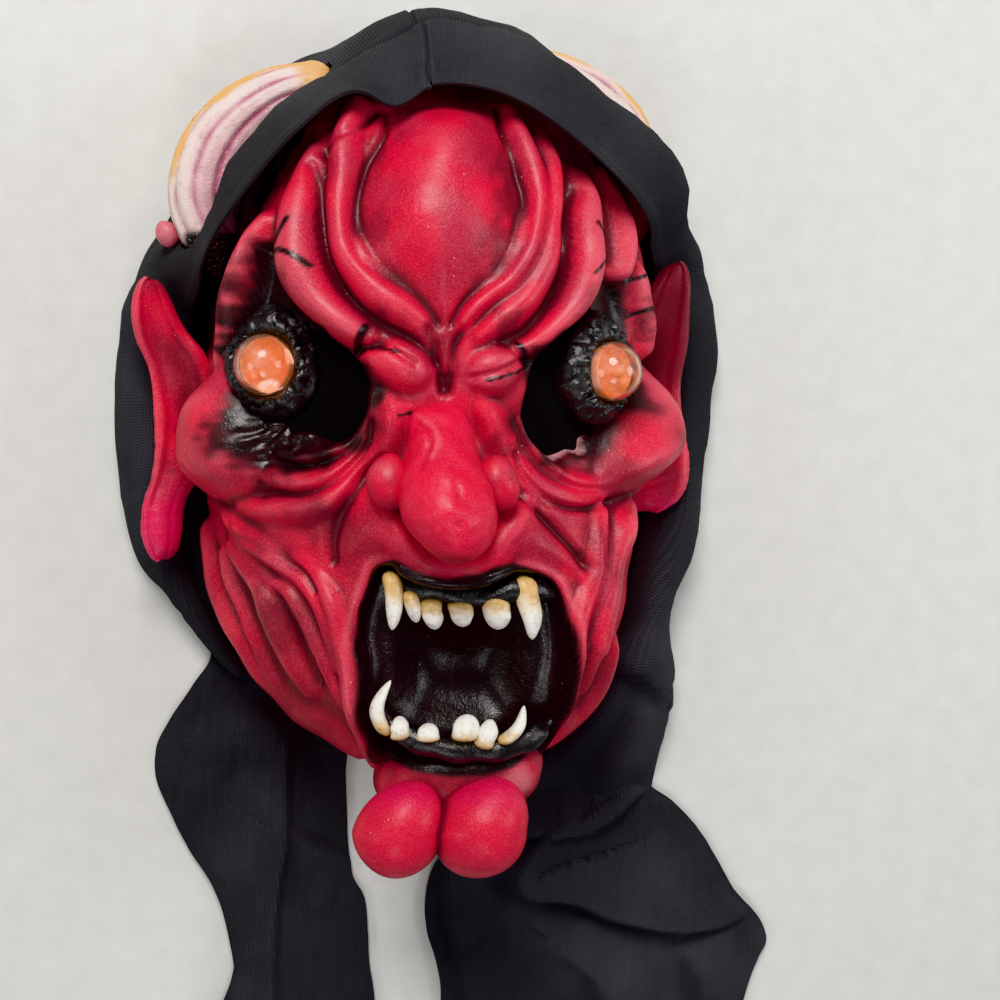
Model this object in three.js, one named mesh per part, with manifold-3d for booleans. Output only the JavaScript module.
// A latex devil mask with two glowing eye domes, sewn into a black knit hood, lying on its back.
// +X is to the right as one looks at the face, +Y runs up to the crown, +Z comes out of the face.
// Millimetres. The face is laid out with z = 0 at the latex rim, and the finished group is
// moved so that its origin is under the middle of the whole object.
import * as THREE from "three";
import { mergeVertices } from "three/addons/utils/BufferGeometryUtils.js";
import Module from "manifold-3d";

const wasm = await Module();
wasm.setup();

// Driving dimensions
const LATEX = 3; // wall of the cast latex
const CLOTH = 2.4; // the hood's doubled knit cloth, as a solid
const GAP = 0.4; // between the latex rim and the cloth that it lies on
const SECTION_POWER = 2.2; // how square the cross-sections of the head are
const COLUMNS = 36; // faces from one side of the head to the other
const INSIDE_STEP = 3; // one face inside for so many outside
const EYE = { x: 66, y: 51, z: 79, turn: 25 }; // collar centre, and degrees that it looks outwards
const EYE_SHIFT = 2.5; // both eyes sit this far to the +X side
const DOME_RADIUS = 11.7;
const DOME_REACH = 15; // how far the dome stands out of its collar
const MOUTH = { y: -64, halfWidth: 40, halfHeight: 39.5, power: 2.8, dip: 4 };
const CHIN_LOBE = { x: 16, y: -128, z: 84, radius: 17 };

// The head as a loft from the chin to the crown: half width at the rim, depth of the face in
// front of the rim, and how many rows of faces run up to the next station.
const STATIONS = [
  { y: -110, halfWidth: 8, depth: 18, rows: 1 },
  { y: -105, halfWidth: 31, depth: 66, rows: 1 },
  { y: -95, halfWidth: 48, depth: 82, rows: 2 },
  { y: -80, halfWidth: 66, depth: 90, rows: 3 },
  { y: -55, halfWidth: 81, depth: 94, rows: 4 },
  { y: -20, halfWidth: 90, depth: 96, rows: 4 },
  { y: 20, halfWidth: 93, depth: 98, rows: 5 },
  { y: 60, halfWidth: 92, depth: 104, rows: 5 },
  { y: 100, halfWidth: 88, depth: 102, rows: 4 },
  { y: 135, halfWidth: 78, depth: 90, rows: 2 },
  { y: 160, halfWidth: 61, depth: 66, rows: 1 },
  { y: 175, halfWidth: 37, depth: 36, rows: 1 },
  { y: 180, halfWidth: 5, depth: 5, rows: 0 },
];

// The muzzle leans to one side: how far the front of the face is carried over in x, by height.
const LEAN = [
  { y: 10, x: 0 },
  { y: -20, x: 5 },
  { y: -60, x: 10 },
  { y: -100, x: 7 },
  { y: -128, x: 0 },
];

// Rolls of flesh, seen from the front on the +X side. Each point is [x, y]. They are mirrored,
// unless they have a side of their own.
const ROLLS = [
  { name: "forehead roll", path: [[29, 146], [40, 121], [42, 98], [31, 78], [10, 61]], width: 10, height: 9 },
  { name: "brow", path: [[53, 132], [60, 113], [57, 92], [48, 74], [31, 60]], width: 12, height: 13 },
  { name: "outer orbit", path: [[60, 124], [74, 108], [80, 90], [84, 72], [86, 60]], width: 8, height: 7 },
  { name: "eye bag", path: [[74, 16], [56, 10], [39, 14], [28, 30]], width: 7, height: 6 },
  { name: "cheek bag", path: [[67, -2], [45, -3], [27, 12]], width: 8, height: 5 },
  { name: "lip corner", path: [[44, -22], [51, -52], [45, -86], [30, -104]], width: 9, height: 7 },
  { name: "inner cheek fold", path: [[68, -9], [58, -26], [57, -48], [52, -72]], width: 8, height: 8 },
  { name: "middle cheek fold", path: [[78, -18], [70, -42], [62, -68]], width: 10, height: 10 },
  { name: "outer cheek fold", path: [[85, -6], [81, -36], [72, -60], [58, -82]], width: 9, height: 9 },
  { name: "left jaw", path: [[86, -4], [84, -34], [76, -60], [62, -84]], width: 14, height: 15, side: -1 },
  { name: "upper lip", path: [[5, -20], [24, -18], [37, -22]], width: 7, height: 4 },
];

// Round swellings: centre [x, y], half widths [x, y] and height.
const KNOBS = [
  { name: "forehead dome", at: [0, 121], size: [31, 42], height: 13 },
  { name: "forehead point", at: [0, 92], size: [21, 34], height: 11 },
  { name: "frown knob", at: [15, 49], size: [13, 11], height: 9 },
  { name: "left cheekbone", at: [86, 32], size: [24, 22], height: 16, side: -1 },
  { name: "right cheekbone", at: [86, 32], size: [24, 22], height: 21, side: 1 },
];

// Soft hollows and swellings under the folds, as bell curves.
const HOLLOWS = [
  { name: "eye socket", at: [54, 48], size: [22, 30], height: -11 },
  { name: "beside the nose", at: [30, 22], size: [12, 16], height: -6 },
  { name: "muzzle", at: [0, -60], size: [48, 48], height: 9 },
  { name: "under the cheekbone", at: [78, -10], size: [20, 24], height: -5 },
  { name: "temple", at: [78, 120], size: [18, 24], height: -3 },
];

// Grooves pressed into the flesh.
const GROOVES = [
  { name: "frown line", path: [[0, 66], [0, 40]], width: 4, depth: 6 },
  { name: "nose to mouth line", path: [[23, 10], [33, -6], [36, -24]], width: 4, depth: 5 },
  { name: "brow crease", path: [[46, 92], [68, 96]], width: 2.5, depth: 4 },
];

const ROLL_BLEND = 2; // how softly rolls run into each other
const RIM_FADE = 22; // the relief dies away this near the rim

// Small tools for vectors, curves and closed meshes
const radians = (degrees) => (degrees * Math.PI) / 180;
const mix = (a, b, share) => a + (b - a) * share;
const clamp01 = (value) => Math.min(1, Math.max(0, value));
const smooth = (value) => clamp01(value) ** 2 * (3 - 2 * clamp01(value));
const softMax = (a, b, blend) => {
  const share = Math.max(blend - Math.abs(a - b), 0) / blend;
  return Math.max(a, b) + (share * share * blend) / 4;
};

function interpolate(rows, key, y) {
  const sorted = [...rows].sort((a, b) => a.y - b.y);
  if (y <= sorted[0].y) return sorted[0][key];
  for (let i = 1; i < sorted.length; i++) {
    const [low, high] = [sorted[i - 1], sorted[i]];
    if (y <= high.y) return mix(low[key], high[key], smooth((y - low.y) / (high.y - low.y)));
  }
  return sorted.at(-1)[key];
}

function manifoldOf(vertices, triangles) {
  const geometry = new THREE.BufferGeometry().setFromPoints(vertices);
  geometry.setIndex(triangles);
  return manifoldOfGeometry(geometry);
}

function manifoldOfGeometry(geometry) {
  geometry.deleteAttribute("normal");
  geometry.deleteAttribute("uv");
  const merged = mergeVertices(geometry, 1e-3);
  const solid = new wasm.Manifold(
    new wasm.Mesh({
      numProp: 3,
      vertProperties: merged.attributes.position.array,
      triVerts: new Uint32Array(merged.index.array),
    }),
  );
  if (solid.volume() > 0) return solid;
  const turned = Array.from(merged.index.array);
  for (let i = 0; i < turned.length; i += 3) {
    [turned[i + 1], turned[i + 2]] = [turned[i + 2], turned[i + 1]];
  }
  return new wasm.Manifold(
    new wasm.Mesh({
      numProp: 3,
      vertProperties: merged.attributes.position.array,
      triVerts: new Uint32Array(turned),
    }),
  );
}

// A closed solid through a stack of rings with equal point counts, its two ends capped.
function ringLoft(rings) {
  const count = rings[0].length;
  const vertices = rings.flat();
  const triangles = [];
  for (let i = 0; i + 1 < rings.length; i++) {
    for (let j = 0; j < count; j++) {
      const [a, b] = [i * count + j, i * count + ((j + 1) % count)];
      triangles.push(a, b, b + count, a, b + count, a + count);
    }
  }
  const capped = [
    [rings[0], 0, true],
    [rings.at(-1), (rings.length - 1) * count, false],
  ];
  for (const [ring, start, first] of capped) {
    const middle = ring.reduce((sum, p) => sum.add(p), new THREE.Vector3()).divideScalar(count);
    vertices.push(middle);
    const hub = vertices.length - 1;
    for (let j = 0; j < count; j++) {
      const [a, b] = [start + j, start + ((j + 1) % count)];
      triangles.push(...(first ? [hub, b, a] : [hub, a, b]));
    }
  }
  return manifoldOf(vertices, triangles);
}

// A closed solid from rings whose last one joins the first, such as a collar.
function ringLoop(rings) {
  const count = rings[0].length;
  const triangles = [];
  for (let i = 0; i < rings.length; i++) {
    const next = (i + 1) % rings.length;
    for (let j = 0; j < count; j++) {
      const k = (j + 1) % count;
      const corners = [i * count + j, i * count + k, next * count + k, next * count + j];
      triangles.push(corners[0], corners[1], corners[2], corners[0], corners[2], corners[3]);
    }
  }
  return manifoldOf(rings.flat(), triangles);
}

// A closed solid between two sheets of points, where the inner one may be coarser.
function sheetSolid(outer, inner) {
  const vertices = [...outer.flat(), ...inner.flat()];
  const triangles = [];
  const grids = [
    { grid: outer, start: 0, turned: false },
    { grid: inner, start: outer.length * outer[0].length, turned: true },
  ];
  const loops = grids.map(({ grid, start, turned }) => {
    const [rows, columns] = [grid.length, grid[0].length];
    const at = (i, j) => start + i * columns + j;
    for (let i = 0; i + 1 < rows; i++) {
      for (let j = 0; j + 1 < columns; j++) {
        const faces = [at(i, j), at(i, j + 1), at(i + 1, j + 1), at(i, j), at(i + 1, j + 1), at(i + 1, j)];
        if (turned) faces.reverse();
        triangles.push(...faces);
      }
    }
    const sides = [[], [], [], []];
    for (let j = 0; j < columns - 1; j++) sides[0].push(at(0, j));
    for (let i = 0; i < rows - 1; i++) sides[1].push(at(i, columns - 1));
    for (let j = columns - 1; j > 0; j--) sides[2].push(at(rows - 1, j));
    for (let i = rows - 1; i > 0; i--) sides[3].push(at(i, 0));
    return sides;
  });
  for (let side = 0; side < 4; side++) {
    const [fine, coarse] = loops.map((sides) => [...sides[side], sides[(side + 1) % 4][0]]);
    let [f, c] = [0, 0];
    while (f < fine.length - 1 || c < coarse.length - 1) {
      const fineNext = (f + 1) / (fine.length - 1);
      const coarseNext = (c + 1) / (coarse.length - 1);
      if (f < fine.length - 1 && (fineNext <= coarseNext || c === coarse.length - 1)) {
        triangles.push(fine[f + 1], fine[f], coarse[c]);
        f++;
      } else {
        triangles.push(fine[f], coarse[c], coarse[c + 1]);
        c++;
      }
    }
  }
  return manifoldOf(vertices, triangles);
}

function ellipsoid(centre, radii, around, down) {
  const geometry = new THREE.SphereGeometry(1, around, down);
  geometry.rotateX(Math.PI / 2);
  geometry.scale(...radii);
  geometry.translate(...centre);
  return manifoldOfGeometry(geometry);
}

const join = (...solids) => solids.reduce((sum, solid) => sum.add(solid));

const mirrored = (point, side) => new THREE.Vector3(point.x * side, point.y, point.z);

// The plain head under the relief
const profile = new THREE.CatmullRomCurve3(
  STATIONS.map((s) => new THREE.Vector3(s.halfWidth, s.y, s.depth)),
);

function stationShareOf(y) {
  let [low, high] = [0, 1];
  for (let i = 0; i < 40; i++) {
    const middle = (low + high) / 2;
    if (profile.getPoint(middle).y < y) low = middle;
    else high = middle;
  }
  return (low + high) / 2;
}

function headPoint(share, turn) {
  const { x: halfWidth, y, z: depth } = profile.getPoint(share);
  const [s, c] = [Math.sin(turn), Math.max(0, Math.cos(turn))];
  const reach =
    ((Math.abs(s) / halfWidth) ** SECTION_POWER + (c / depth) ** SECTION_POWER) ** (-1 / SECTION_POWER);
  const z = Math.abs(Math.abs(turn) - Math.PI / 2) < 1e-9 ? 0 : reach * c;
  return new THREE.Vector3(reach * s, y, z);
}

function headNormal(share, turn) {
  const step = 1e-3;
  const edge = Math.PI / 2 - step;
  const t = Math.min(1 - step, Math.max(step, share));
  const u = Math.min(edge, Math.max(-edge, turn));
  const up = headPoint(t + step, u).sub(headPoint(t - step, u));
  const across = headPoint(t, u + step).sub(headPoint(t, u - step));
  const normal = across.cross(up);
  if (Math.abs(turn) > edge) normal.z = 0;
  return normal.normalize();
}

// Distance round the head from the middle of the face, in mm, negative on the -X side.
function across(share, turn) {
  const steps = 12;
  let length = 0;
  let last = headPoint(share, 0);
  for (let i = 1; i <= steps; i++) {
    const next = headPoint(share, (turn * i) / steps);
    length += next.distanceTo(last);
    last = next;
  }
  return Math.sign(turn) * length;
}

// The same for a point given as it is seen from the front.
function acrossFromFront([x, y]) {
  const share = stationShareOf(y);
  let [low, high] = [0, radians(86)];
  for (let i = 0; i < 30; i++) {
    const middle = (low + high) / 2;
    if (headPoint(share, middle).x < Math.abs(x)) low = middle;
    else high = middle;
  }
  return new THREE.Vector2(Math.sign(x) * across(share, low), y);
}

// The relief, as a height over the plain head
function strokeLine(path) {
  const flat = path.map(acrossFromFront).map((p) => new THREE.Vector3(p.x, p.y, 0));
  return new THREE.CatmullRomCurve3(flat).getPoints(flat.length * 5);
}

function distanceToLine(line, x, y) {
  let best = Infinity;
  for (let i = 0; i + 1 < line.length; i++) {
    const [a, b] = [line[i], line[i + 1]];
    const [dx, dy] = [b.x - a.x, b.y - a.y];
    const along = clamp01(((x - a.x) * dx + (y - a.y) * dy) / (dx * dx + dy * dy));
    best = Math.min(best, Math.hypot(x - a.x - dx * along, y - a.y - dy * along));
  }
  return best;
}

const rolls = ROLLS.map((roll) => ({ ...roll, line: strokeLine(roll.path) }));
const grooves = GROOVES.map((groove) => ({ ...groove, line: strokeLine(groove.path) }));
const placed = (shape) => ({ ...shape, centre: acrossFromFront(shape.at) });
const knobs = KNOBS.map(placed);
const hollows = HOLLOWS.map(placed);

const roundTop = (share) => Math.sqrt(Math.max(0, 1 - share * share));

function relief(a, y) {
  const x = Math.abs(a);
  const here = ({ side }) => !side || side * a > 0;
  let raised = 0;
  for (const { line, width, height } of rolls.filter(here)) {
    raised = softMax(raised, height * roundTop(distanceToLine(line, x, y) / width), ROLL_BLEND);
  }
  for (const { centre, size, height } of knobs.filter(here)) {
    const share = Math.hypot((x - centre.x) / size[0], (y - centre.y) / size[1]);
    raised = softMax(raised, height * roundTop(share), ROLL_BLEND);
  }
  for (const { centre, size, height } of hollows) {
    raised += height * Math.exp(-(((x - centre.x) / size[0]) ** 2) - ((y - centre.y) / size[1]) ** 2);
  }
  for (const { line, width, depth } of grooves) {
    raised -= depth * Math.exp(-((distanceToLine(line, x, y) / width) ** 2));
  }
  return raised;
}

function lean(point) {
  point.x += interpolate(LEAN, "x", point.y) * smooth(point.z / 90);
  return point;
}

// A point on the latex: the head with its relief, moved out along the normal by `offset` more.
function skin(share, turn, offset = 0, height = relief(across(share, turn), profile.getPoint(share).y)) {
  const point = headPoint(share, turn);
  const shown = height * smooth(point.z / RIM_FADE);
  return lean(point.addScaledVector(headNormal(share, turn), shown + offset));
}

// The face shell, fine outside and coarse inside
const turnOf = (share) => (Math.PI / 2) * share * (0.68 + 0.32 * share * share);
const rowShares = [0];
STATIONS.forEach((station, i) => {
  for (let k = 1; k <= station.rows; k++) {
    rowShares.push((i + k / station.rows) / (STATIONS.length - 1));
  }
});
const columnTurns = Array.from({ length: COLUMNS + 1 }, (_, j) => turnOf((2 * j) / COLUMNS - 1));

const heights = rowShares.map((share) =>
  columnTurns.map((turn) => relief(across(share, turn), profile.getPoint(share).y)),
);

// The inner wall follows the lowest relief within reach, so that no crease cuts through it.
function innerHeight(i, j) {
  let lowest = Infinity;
  for (let di = -INSIDE_STEP; di <= INSIDE_STEP; di++) {
    for (let dj = -INSIDE_STEP; dj <= INSIDE_STEP; dj++) {
      const row = heights[Math.min(heights.length - 1, Math.max(0, i + di))];
      lowest = Math.min(lowest, row[Math.min(COLUMNS, Math.max(0, j + dj))]);
    }
  }
  return lowest;
}

function innerSheet(offset, rows = [0, rowShares.length - 1], columns = [0, COLUMNS]) {
  const sheet = [];
  for (let i = rows[0]; i <= rows[1]; i += INSIDE_STEP) {
    sheet.push([]);
    for (let j = columns[0]; j <= columns[1]; j += INSIDE_STEP) {
      sheet.at(-1).push(skin(rowShares[i], columnTurns[j], offset, innerHeight(i, j)));
    }
  }
  return sheet;
}

function faceShell() {
  const outer = rowShares.map((share, i) =>
    columnTurns.map((turn, j) => skin(share, turn, 0, heights[i][j])),
  );
  return sheetSolid(outer, innerSheet(-LATEX));
}

// The opening of the mouth, a rounded square whose top dips under the nose
function mouthPoint(angle, grow) {
  const power = (value) => Math.sign(value) * Math.abs(value) ** (2 / MOUTH.power);
  const x = (MOUTH.halfWidth + grow) * power(Math.cos(angle));
  const y = (MOUTH.halfHeight + grow) * power(Math.sin(angle));
  const dip = y > 0 ? MOUTH.dip * Math.exp(-((x / 20) ** 2)) : 0;
  return new THREE.Vector2(x, MOUTH.y + y - dip);
}

// The height of the latex over a front-view point.
function skinAt(x, y, offset = 0) {
  const share = stationShareOf(y);
  const [direction, target] = [Math.sign(x) || 1, Math.abs(x)];
  let [low, high] = [0, radians(88)];
  for (let i = 0; i < 24; i++) {
    const middle = (low + high) / 2;
    if (headPoint(share, middle).x < target) low = middle;
    else high = middle;
  }
  return skin(share, direction * low, offset);
}

const MOUTH_POINTS = 18;
const mouthAngles = Array.from({ length: MOUTH_POINTS }, (_, i) => (2 * Math.PI * (i + 0.5)) / MOUTH_POINTS);

function mouthRing(grow, drop, floor = null) {
  return mouthAngles.map((angle) => {
    const front = mouthPoint(angle, 0);
    const lip = skinAt(front.x, front.y);
    const { x, y } = mouthPoint(angle, grow);
    const z = floor === null ? lip.z - drop : floor;
    return new THREE.Vector3(x + (lip.x - front.x), y, z);
  });
}

const MOUTH_FLOOR = 66; // the black back wall of the open mouth, deepest in the middle
const MOUTH_FOOT = 74; // where that floor meets the side wall

function mouthCutter() {
  return ringLoft([mouthRing(1.5, 0, MOUTH_FLOOR - 20), mouthRing(1.5, 0, 140)]);
}

function mouthCup() {
  return ringLoft([
    mouthRing(-24, 0, MOUTH_FLOOR),
    mouthRing(-4, 0, MOUTH_FOOT),
    mouthRing(-1, 4),
    mouthRing(1, -1.5),
    mouthRing(4, -0.5),
    mouthRing(4.5, 4),
    mouthRing(-1, 0, MOUTH_FOOT - LATEX),
    mouthRing(-24, 0, MOUTH_FLOOR - LATEX),
  ]);
}

// Teeth: centre [x, y], half width, half height, and a lean in degrees
const TEETH = [
  { at: [-20, -37], size: [3.4, 10.5], lean: 12 },
  { at: [-10, -38], size: [3, 5.5], lean: 6 },
  { at: [-2.5, -41], size: [4, 5.5], lean: 4 },
  { at: [8, -41], size: [4.4, 5], lean: 0 },
  { at: [22, -40], size: [5, 6.5], lean: -2 },
  { at: [33.5, -40], size: [5, 11.5], lean: -4 },
  { at: [-21, -78], size: [3.2, 11], lean: -8 },
  { at: [-15, -88], size: [3.6, 4.5], lean: 0 },
  { at: [-5, -89], size: [4.4, 4], lean: 0 },
  { at: [9.5, -88], size: [5.6, 5.2], lean: 0 },
  { at: [17, -91], size: [3.6, 5], lean: -10 },
  { at: [29, -86], size: [3.4, 9], lean: -38 },
];

function tooth({ at: [x, y], size: [halfWidth, halfHeight], lean: degrees }) {
  const geometry = new THREE.SphereGeometry(1, 6, 4);
  geometry.scale(halfWidth, halfHeight, 4);
  geometry.rotateZ(radians(-degrees));
  const upper = y > MOUTH.y;
  geometry.translate(x, y, upper ? 93 : 85);
  return manifoldOfGeometry(geometry);
}

// Thick black gums that carry the two rows of teeth
function gum(points, radius) {
  const curve = new THREE.CatmullRomCurve3(points.map((p) => new THREE.Vector3(...p)));
  const shape = new THREE.Shape().absarc(0, 0, radius, 0, 2 * Math.PI, false);
  const geometry = new THREE.ExtrudeGeometry(shape, { steps: 5, curveSegments: 3, extrudePath: curve });
  return manifoldOfGeometry(geometry);
}

const GUMS = [
  [[-27, -34, 88], [-12, -33, 92], [8, -36, 93], [26, -34, 92], [42, -37, 86]],
  [[-26, -86, 80], [-14, -93, 84], [8, -97, 84], [28, -94, 81], [38, -88, 77]],
];

// The nose, a pear that hangs over the upper lip: half widths and depths of level cuts
const NOSE = [
  { y: 44, z: 92, halfWidth: 4, halfDepth: 6 },
  { y: 38, z: 96, halfWidth: 8.5, halfDepth: 10 },
  { y: 28, z: 102, halfWidth: 11, halfDepth: 13 },
  { y: 16, z: 108, halfWidth: 14, halfDepth: 19 },
  { y: 4, z: 112, halfWidth: 17.5, halfDepth: 25 },
  { y: -6, z: 114, halfWidth: 17, halfDepth: 25 },
  { y: -14, z: 115, halfWidth: 12.5, halfDepth: 20 },
  { y: -19, z: 115, halfWidth: 7, halfDepth: 12 },
  { y: -21, z: 115, halfWidth: 2.5, halfDepth: 5 },
];

function levelRing({ y, z, halfWidth, halfDepth }, points) {
  return Array.from({ length: points }, (_, i) => {
    const angle = (2 * Math.PI * i) / points;
    return new THREE.Vector3(halfWidth * Math.sin(angle), y, z + halfDepth * Math.cos(angle));
  });
}

function nose() {
  const wings = [-1, 1].map((side) => ellipsoid([side * 20, 8, 106], [8, 10, 11], 8, 5));
  return join(ringLoft(NOSE.map((cut) => levelRing(cut, 11))), ...wings);
}

function chin() {
  const stem = ellipsoid([5, -108, 77], [34, 20, 17], 11, 6);
  const lobes = [-1, 1].map((side) =>
    ellipsoid([side * CHIN_LOBE.x, CHIN_LOBE.y, CHIN_LOBE.z], Array(3).fill(CHIN_LOBE.radius), 10, 7),
  );
  return join(stem, ...lobes);
}

// Ears: cuts from the lobe up to the point, outer and inner edge, with a hollow between
const EAR = [
  { y: -26, outer: 109, inner: 103, z: 30, thick: 2.5, hollow: 0 },
  { y: -20, outer: 114, inner: 99, z: 30, thick: 5, hollow: 0 },
  { y: -6, outer: 116, inner: 96, z: 30, thick: 5.5, hollow: 1 },
  { y: 12, outer: 115, inner: 86, z: 30, thick: 5, hollow: 4 },
  { y: 32, outer: 115, inner: 84, z: 31, thick: 5, hollow: 5 },
  { y: 52, outer: 118, inner: 85, z: 33, thick: 5, hollow: 5 },
  { y: 68, outer: 120, inner: 92, z: 35, thick: 5, hollow: 3.5 },
  { y: 80, outer: 119, inner: 102, z: 36, thick: 4.5, hollow: 1 },
  { y: 87, outer: 116, inner: 109, z: 36, thick: 3, hollow: 0 },
];
const EAR_POINTS = 12;
const EAR_SHIFT = { [-1]: [0, 0], [1]: [-5, 8] }; // the right ear sits higher and closer

function ear(side) {
  const rings = EAR.map(({ y, outer, inner, z, thick, hollow }) =>
    Array.from({ length: EAR_POINTS }, (_, i) => {
      const angle = (2 * Math.PI * i) / EAR_POINTS;
      const over = Math.cos(angle);
      const front = Math.sin(angle) * thick - (Math.sin(angle) > -0.1 ? hollow * (1 - over * over) : 0);
      const x = (outer + inner) / 2 + ((outer - inner) / 2) * over + EAR_SHIFT[side][0];
      return mirrored({ x, y: y + EAR_SHIFT[side][1], z: z + front + 3 * over }, side);
    }),
  );
  return ringLoft(rings);
}

// Horns: a fluted banana along a curved spine
const HORN_SPINE = [[66, 90, 38], [83, 103, 38], [91, 123, 39], [84, 145, 41], [65, 160, 44], [42, 167, 46]];
const HORN_RADII = [10, 12, 16, 16.5, 13.5, 9];
const HORN_POINTS = 12;
const HORN_SHIFT = { [-1]: [0, 0], [1]: [-8, 9] }; // the right horn is set closer and higher
const FLUTE = 0.06;

function horn(side, grow = 0, points = HORN_POINTS, steps = 8) {
  const spine = new THREE.CatmullRomCurve3(HORN_SPINE.map((p) => new THREE.Vector3(...p)));
  const rings = [];
  for (let i = 0; i <= steps; i++) {
    const share = i / steps;
    const centre = spine.getPoint(share);
    const along = spine.getTangent(share);
    const sideways = new THREE.Vector3(0, 0, 1).cross(along).normalize();
    const upright = along.clone().cross(sideways);
    const place = share * (HORN_RADII.length - 1);
    const k = Math.min(HORN_RADII.length - 2, Math.floor(place));
    const radius = mix(HORN_RADII[k], HORN_RADII[k + 1], place - k) + grow;
    rings.push({ centre, along, sideways, upright, radius });
  }
  const end = rings.at(-1);
  for (const [reach, shrink] of [[0.6, 0.8], [0.92, 0.35]]) {
    const centre = end.centre.clone().addScaledVector(end.along, end.radius * reach);
    rings.push({ ...end, centre, radius: end.radius * shrink });
  }
  const [dx, dy] = HORN_SHIFT[side];
  return ringLoft(
    rings.map(({ centre, sideways, upright, radius }) =>
      Array.from({ length: points }, (_, i) => {
        const angle = (2 * Math.PI * i) / points;
        const fluted = radius * (1 + (i % 2 ? -FLUTE : FLUTE) * (grow ? 0 : 1));
        const point = centre
          .clone()
          .addScaledVector(sideways, fluted * Math.cos(angle))
          .addScaledVector(upright, fluted * Math.sin(angle));
        return mirrored({ x: point.x + dx, y: point.y + dy, z: point.z }, side);
      }),
    ),
  );
}

// The eye: a ribbed collar of black latex that holds the clear dome
const eyeCentre = (side) => new THREE.Vector3(EYE.x * side + EYE_SHIFT, EYE.y, EYE.z);
const eyeTurn = (side) => new THREE.Matrix4().makeRotationY(radians(EYE.turn * side));

// Rings of points round the eye's axis, from [radius, height] pairs.
function eyeRings(side, pairs, points, rib = 0) {
  return pairs.map(([radius, height]) =>
    Array.from({ length: points }, (_, i) => {
      const angle = (2 * Math.PI * i) / points;
      const ribbed = radius + (radius > 14 ? rib * (i % 2 ? -1 : 1) : 0);
      return new THREE.Vector3(ribbed * Math.cos(angle), ribbed * Math.sin(angle), height)
        .applyMatrix4(eyeTurn(side))
        .add(eyeCentre(side));
    }),
  );
}

const COLLAR = [[12.1, -12], [12.1, 1.5], [15, 2.8], [20.8, -3], [20.8, -12]];

const collar = (side) => ringLoop(eyeRings(side, COLLAR, 16, 0.7));

// The socket is an open oval beside the collar.
const SOCKET = { x: 52, y: 49, halfWidth: 23, halfHeight: 31 };

function socketCutter(side) {
  const ring = (z) =>
    Array.from({ length: 16 }, (_, i) => {
      const angle = (2 * Math.PI * i) / 16;
      const x = SOCKET.x * side + EYE_SHIFT / 2 + SOCKET.halfWidth * Math.cos(angle);
      return new THREE.Vector3(x, SOCKET.y + SOCKET.halfHeight * Math.sin(angle), z);
    });
  return ringLoft([ring(45), ring(125)]);
}

const shiftZ = (z) => (point) => new THREE.Vector3(point.x, point.y, point.z + z);

function dome(side) {
  const cap = Array.from({ length: 4 }, (_, i) => {
    const angle = (Math.PI / 2) * ((i + 1) / 5);
    return [DOME_RADIUS * Math.cos(angle), 3 + (DOME_REACH - 3) * Math.sin(angle)];
  });
  return ringLoft(eyeRings(side, [[DOME_RADIUS, -7], [DOME_RADIUS, 3], ...cap], 16));
}

// The neck goes in under the chin through an arch in the rim.
function neckArch() {
  const ring = (y) =>
    Array.from({ length: 16 }, (_, i) => {
      const angle = (2 * Math.PI * i) / 16;
      return new THREE.Vector3(44 * Math.cos(angle), y, 44 * Math.sin(angle));
    });
  return ringLoft([ring(-150), ring(-58)]);
}

function latexMask() {
  const sides = [-1, 1];
  const shell = faceShell().subtract(mouthCutter()).subtract(neckArch());
  const opened = sides.reduce((sum, side) => sum.subtract(socketCutter(side)), shell);
  const hollow = sheetSolid(innerSheet(-LATEX / 2), innerSheet(-60));
  const features = join(nose(), chin(), ...sides.map(ear), ...sides.map((side) => horn(side)));
  const trimmed = features.subtract(hollow).subtract(mouthCutter());
  const teeth = TEETH.map(tooth);
  const gums = GUMS.map((points) => gum(points, 5));
  return join(opened, trimmed, mouthCup(), ...gums, ...teeth, ...sides.map(collar));
}

// The knit cloth behind each socket, glued round the hole inside
function eyeCloth(side) {
  const half = COLUMNS / 2;
  const columns = side > 0 ? [half + 3, half + 12] : [half - 12, half - 3];
  const rows = [12, 24];
  const [front, back] = [-LATEX - GAP, -LATEX - 2].map((offset) => innerSheet(offset, rows, columns));
  const plug = ringLoft(eyeRings(side, [[22.6 + GAP, -50], [22.6 + GAP, 10]], 12));
  return sheetSolid(front, back).subtract(plug);
}

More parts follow.
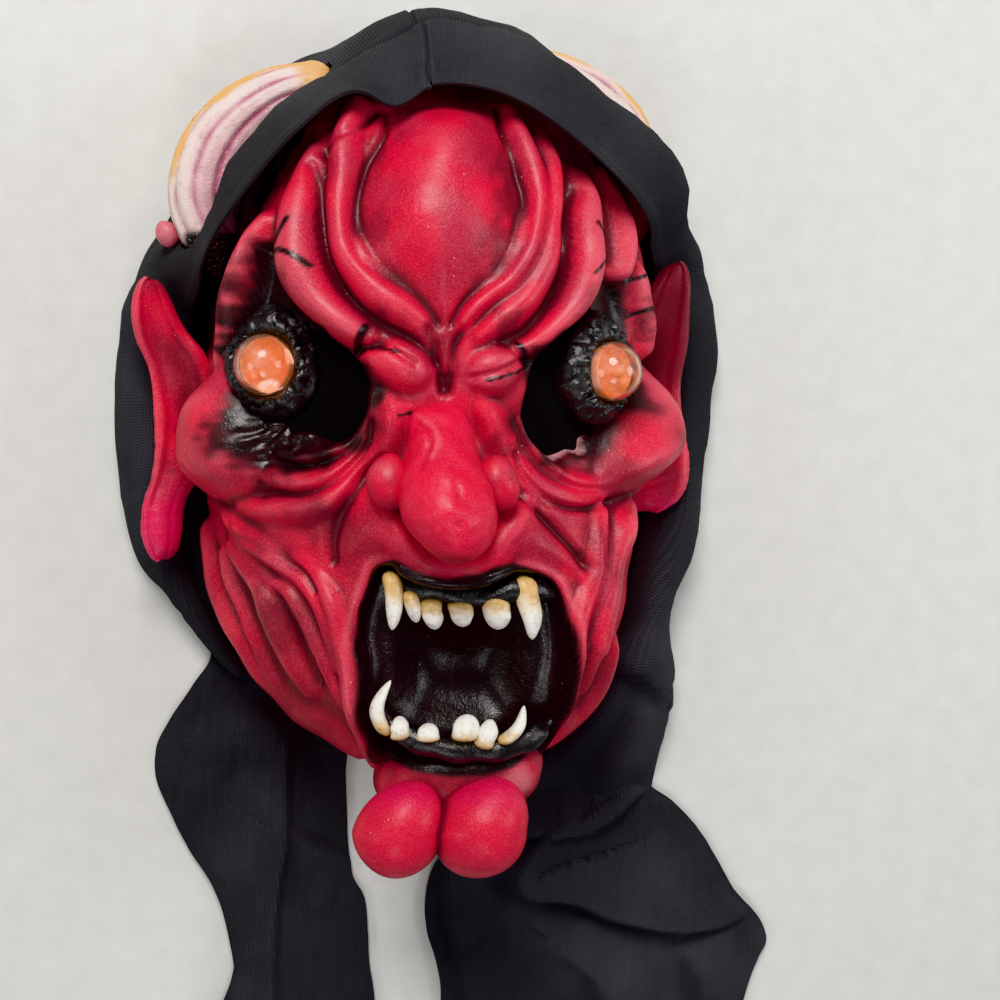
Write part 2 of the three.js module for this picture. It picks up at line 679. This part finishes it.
// The hood, as cuts from its front hem over the highest line and down the side to its foot on
// the table. They run from the jaw on the -X side over the crown to the jaw on the +X side.
const HOOD = [
  { hem: [-76, -88, 4], top: [-79, -86, 8], side: [-87, -81, 5], foot: [-91, -78] },
  { hem: [-94, -58, 5], top: [-99, -56, 11], side: [-104, -52, 7], foot: [-107, -50] },
  { hem: [-105, -22, 7], top: [-112, -22, 15], side: [-120, -24, 10], foot: [-123, -26] },
  { hem: [-102, 20, 7], top: [-113, 18, 19], side: [-127, 14, 12], foot: [-129, 12] },
  { hem: [-102, 52, 8], top: [-112, 53, 19], side: [-126, 56, 14], foot: [-128, 56] },
  { hem: [-98, 73, 14], top: [-109, 80, 19], side: [-121, 82, 14], foot: [-123, 83] },
  { hem: [-90, 86, 46], top: [-98, 95, 44], side: [-111, 100, 20], foot: [-117, 101] },
  { hem: [-80, 98, 75], top: [-88, 107, 62], side: [-94, 113, 26], foot: [-106, 118] },
  { hem: [-67, 113, 90], top: [-77, 124, 74], side: [-84, 134, 30], foot: [-95, 143] },
  { hem: [-51, 128, 96], top: [-62, 143, 79], side: [-71, 153, 34], foot: [-81, 162] },
  { hem: [-33, 143, 94], top: [-38, 164, 73], side: [-45, 177, 40], foot: [-52, 185] },
  { hem: [0, 156, 90], top: [0, 179, 71], side: [0, 195, 44], foot: [0, 196] },
  { hem: [34, 143, 94], top: [38, 165, 74], side: [45, 178, 40], foot: [53, 185] },
  { hem: [55, 129, 93], top: [71, 146, 78], side: [77, 150, 36], foot: [88, 160] },
  { hem: [78, 112, 76], top: [96, 131, 67], side: [93, 125, 28], foot: [107, 133] },
  { hem: [93, 103, 40], top: [107, 110, 37], side: [119, 112, 20], foot: [121, 112] },
  { hem: [101, 84, 15], top: [109, 92, 20], side: [123, 94, 14], foot: [125, 94] },
  { hem: [101, 62, 9], top: [113, 66, 19], side: [129, 70, 15], foot: [131, 70] },
  { hem: [102, 20, 7], top: [113, 20, 18], side: [125, 20, 13], foot: [127, 20] },
  { hem: [98, -22, 9], top: [107, -22, 26], side: [119, -20, 15], foot: [121, -20] },
  { hem: [86, -62, 9], top: [97, -60, 30], side: [112, -60, 16], foot: [114, -60] },
  { hem: [72, -98, 6], top: [79, -94, 24], side: [107, -98, 13], foot: [111, -100] },
  { hem: [56, -120, 2], top: [64, -118, 12], side: [100, -124, 8], foot: [106, -126] },
];
const HOOD_COLUMNS = 2 * (HOOD.length - 1);
const FLOOR = -CLOTH - GAP;

function hoodWall() {
  const keys = ["hem", "top", "side", "foot"];
  const pointOf = ([x, y, z = FLOOR]) => new THREE.Vector3(x, y, z);
  const lines = keys.map((key) => new THREE.CatmullRomCurve3(HOOD.map((cut) => pointOf(cut[key]))));
  const outer = [];
  for (let i = 0; i <= HOOD_COLUMNS; i++) {
    const cut = new THREE.CatmullRomCurve3(lines.map((line) => line.getPoint(i / HOOD_COLUMNS)));
    outer.push(cut.getPoints(4));
  }
  const pick = (i, j) => outer[Math.min(outer.length - 1, Math.max(0, i))][Math.min(4, Math.max(0, j))];
  const inner = outer.map((cut, i) =>
    cut.map((point, j) => {
      const along = pick(i + 1, j).clone().sub(pick(i - 1, j));
      const down = pick(i, j + 1).clone().sub(pick(i, j - 1));
      const inwards = along.cross(down).normalize().multiplyScalar(CLOTH);
      if (j === 4) inwards.z = 0;
      return point.clone().add(inwards);
    }),
  );
  return sheetSolid(outer, inner.filter((_, i) => i % 2 === 0));
}

function hoodBack() {
  const feet = HOOD.map(({ foot }) => new THREE.Vector2(foot[0] * 0.99, foot[1] * 0.99));
  const shape = new THREE.Shape(new THREE.SplineCurve(feet).getPoints(22));
  const geometry = new THREE.ExtrudeGeometry(shape, { depth: CLOTH, bevelEnabled: false, steps: 1 });
  geometry.translate(0, 0, FLOOR);
  return manifoldOfGeometry(geometry);
}

// The two tails lie on the table in soft folds: left edge, right edge and fold height by y
const TAILS = [
  {
    folds: 1.6,
    phase: 0.4,
    cuts: [
      { y: -52, left: -104, right: -66, lift: 0 },
      { y: -92, left: -114, right: -64, lift: 0 },
      { y: -106, left: -115, right: -44, lift: 2 },
      { y: -124, left: -112, right: -33, lift: 7 },
      { y: -150, left: -99, right: -30, lift: 8 },
      { y: -182, left: -86, right: -27, lift: 8 },
      { y: -222, left: -97, right: -24, lift: 7 },
      { y: -262, left: -104, right: -22, lift: 5 },
    ],
  },
  {
    folds: 2.4,
    phase: 2.2,
    cuts: [
      { y: -70, left: 70, right: 110, lift: 0 },
      { y: -92, left: 62, right: 110, lift: 0 },
      { y: -112, left: 48, right: 110, lift: 5 },
      { y: -134, left: 33, right: 113, lift: 9 },
      { y: -158, left: 14, right: 128, lift: 10 },
      { y: -182, left: 3, right: 146, lift: 10 },
      { y: -216, left: 4, right: 164, lift: 9 },
      { y: -238, left: 5, right: 158, lift: 8 },
      { y: -262, left: 8, right: 140, lift: 6 },
    ],
  },
];

const TAIL_POINTS = 9;

function tail({ cuts, folds, phase }) {
  const [top, bottom] = [[], []];
  for (const { y, left, right, lift } of cuts) {
    const points = Array.from({ length: TAIL_POINTS }, (_, j) => {
      const share = j / (TAIL_POINTS - 1);
      const wave = 0.5 - 0.5 * Math.cos(2 * Math.PI * folds * share + phase + y / 90);
      return new THREE.Vector3(mix(left, right, share), y, FLOOR + (lift ? lift * wave : 0.3));
    });
    bottom.push(points);
    top.push(points.map(shiftZ(CLOTH)));
  }
  return sheetSolid(top, bottom);
}

function hood() {
  const sides = [-1, 1];
  const cloth = join(hoodWall(), hoodBack(), ...TAILS.map(tail));
  return sides.reduce((sum, side) => sum.subtract(horn(side, 2.8, 10, 8)), cloth);
}

// Meshes
function meshOf(name, solid, colour, roughness, extra = {}) {
  const { numProp, vertProperties, triVerts } = solid.getMesh();
  const positions = new Float32Array((vertProperties.length / numProp) * 3);
  for (let i = 0; i < vertProperties.length / numProp; i++) {
    positions.set(vertProperties.subarray(i * numProp, i * numProp + 3), i * 3);
  }
  const geometry = new THREE.BufferGeometry();
  geometry.setAttribute("position", new THREE.BufferAttribute(positions, 3));
  geometry.setIndex(new THREE.BufferAttribute(triVerts, 1));
  geometry.computeVertexNormals();
  const material = new THREE.MeshStandardMaterial({ color: colour, roughness, ...extra });
  const mesh = new THREE.Mesh(geometry, material);
  mesh.name = name;
  return mesh;
}

const face = new THREE.Group();
face.add(meshOf("mask", latexMask(), 0xb5122a, 0.45));
for (const [word, side] of [["left", -1], ["right", 1]]) {
  face.add(meshOf(`eye_dome_${word}`, dome(side), 0xe8854a, 0.15, { transparent: true, opacity: 0.8 }));
  face.add(meshOf(`eye_cloth_${word}`, eyeCloth(side), 0x141418, 0.95));
}

face.add(meshOf("hood", hood(), 0x17181c, 0.95));

const box = new THREE.Box3().setFromObject(face, true);
const middle = box.getCenter(new THREE.Vector3());
face.position.set(-middle.x, -middle.y, -box.min.z);

const whole = new THREE.Group();
whole.add(face);

export default whole;
